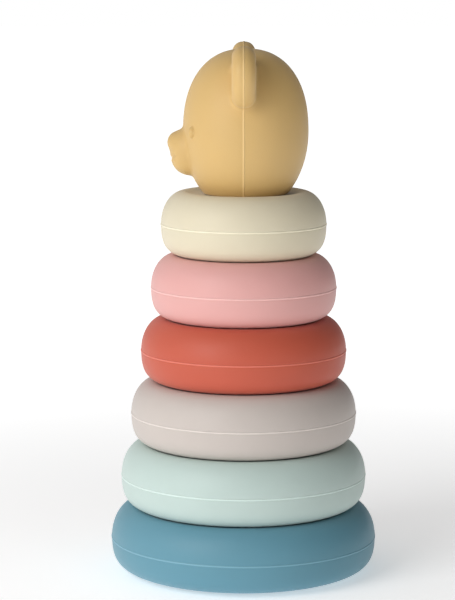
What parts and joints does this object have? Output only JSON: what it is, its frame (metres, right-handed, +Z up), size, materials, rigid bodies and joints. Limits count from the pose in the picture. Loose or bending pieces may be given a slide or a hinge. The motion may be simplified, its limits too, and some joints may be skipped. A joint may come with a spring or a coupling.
{
  "type": "stacking ring toy",
  "caption": "Toddler's stacking toy: a round base with a central post, nested soft rings that shrink upwards, and a bear's head that drops over the post's top.",
  "frame": {"origin": "on the post's axis, at the base's underside", "axes": "+Z up along the post; -Y is where the bear looks; +X is the bear's left ear"},
  "size_m": [0.095, 0.095, 0.1878],
  "materials": {
    "blue_silicone": "matte",
    "mint_silicone": "matte",
    "grey_silicone": "matte",
    "red_silicone": "matte",
    "pink_silicone": "matte",
    "cream_silicone": "matte",
    "mustard_silicone": "matte",
    "ivory_plastic": "matte"
  },
  "bodies": {
    "base": {"base_lower_shell": "blue_silicone", "base_upper_shell": "blue_silicone", "post": "ivory_plastic", "post_end_plug": "ivory_plastic"},
    "mint_ring": {"mint_ring_lower_shell": "mint_silicone", "mint_ring_upper_shell": "mint_silicone"},
    "grey_ring": {"grey_ring_lower_shell": "grey_silicone", "grey_ring_upper_shell": "grey_silicone"},
    "red_ring": {"red_ring_lower_shell": "red_silicone", "red_ring_upper_shell": "red_silicone"},
    "pink_ring": {"pink_ring_lower_shell": "pink_silicone", "pink_ring_upper_shell": "pink_silicone"},
    "cream_ring": {"cream_ring_lower_shell": "cream_silicone", "cream_ring_upper_shell": "cream_silicone"},
    "head": {"head_front_shell": "mustard_silicone", "head_back_shell": "mustard_silicone", "head_socket": "ivory_plastic"}
  },
  "joints": [
    {"name": "mint_ring_lift", "type": "slide", "parent": "base", "child": "mint_ring", "axis": [0, 0, 1], "range_m": [0, 0.145]},
    {"name": "grey_ring_lift", "type": "slide", "parent": "mint_ring", "child": "grey_ring", "axis": [0, 0, 1], "range_m": [0, 0.122]},
    {"name": "red_ring_lift", "type": "slide", "parent": "grey_ring", "child": "red_ring", "axis": [0, 0, 1], "range_m": [0, 0.1]},
    {"name": "pink_ring_lift", "type": "slide", "parent": "red_ring", "child": "pink_ring", "axis": [0, 0, 1], "range_m": [0, 0.0775]},
    {"name": "cream_ring_lift", "type": "slide", "parent": "pink_ring", "child": "cream_ring", "axis": [0, 0, 1], "range_m": [0, 0.055]},
    {"name": "head_lift", "type": "slide", "parent": "cream_ring", "child": "head", "axis": [0, 0, 1], "range_m": [0, 0.035]}
  ]
}
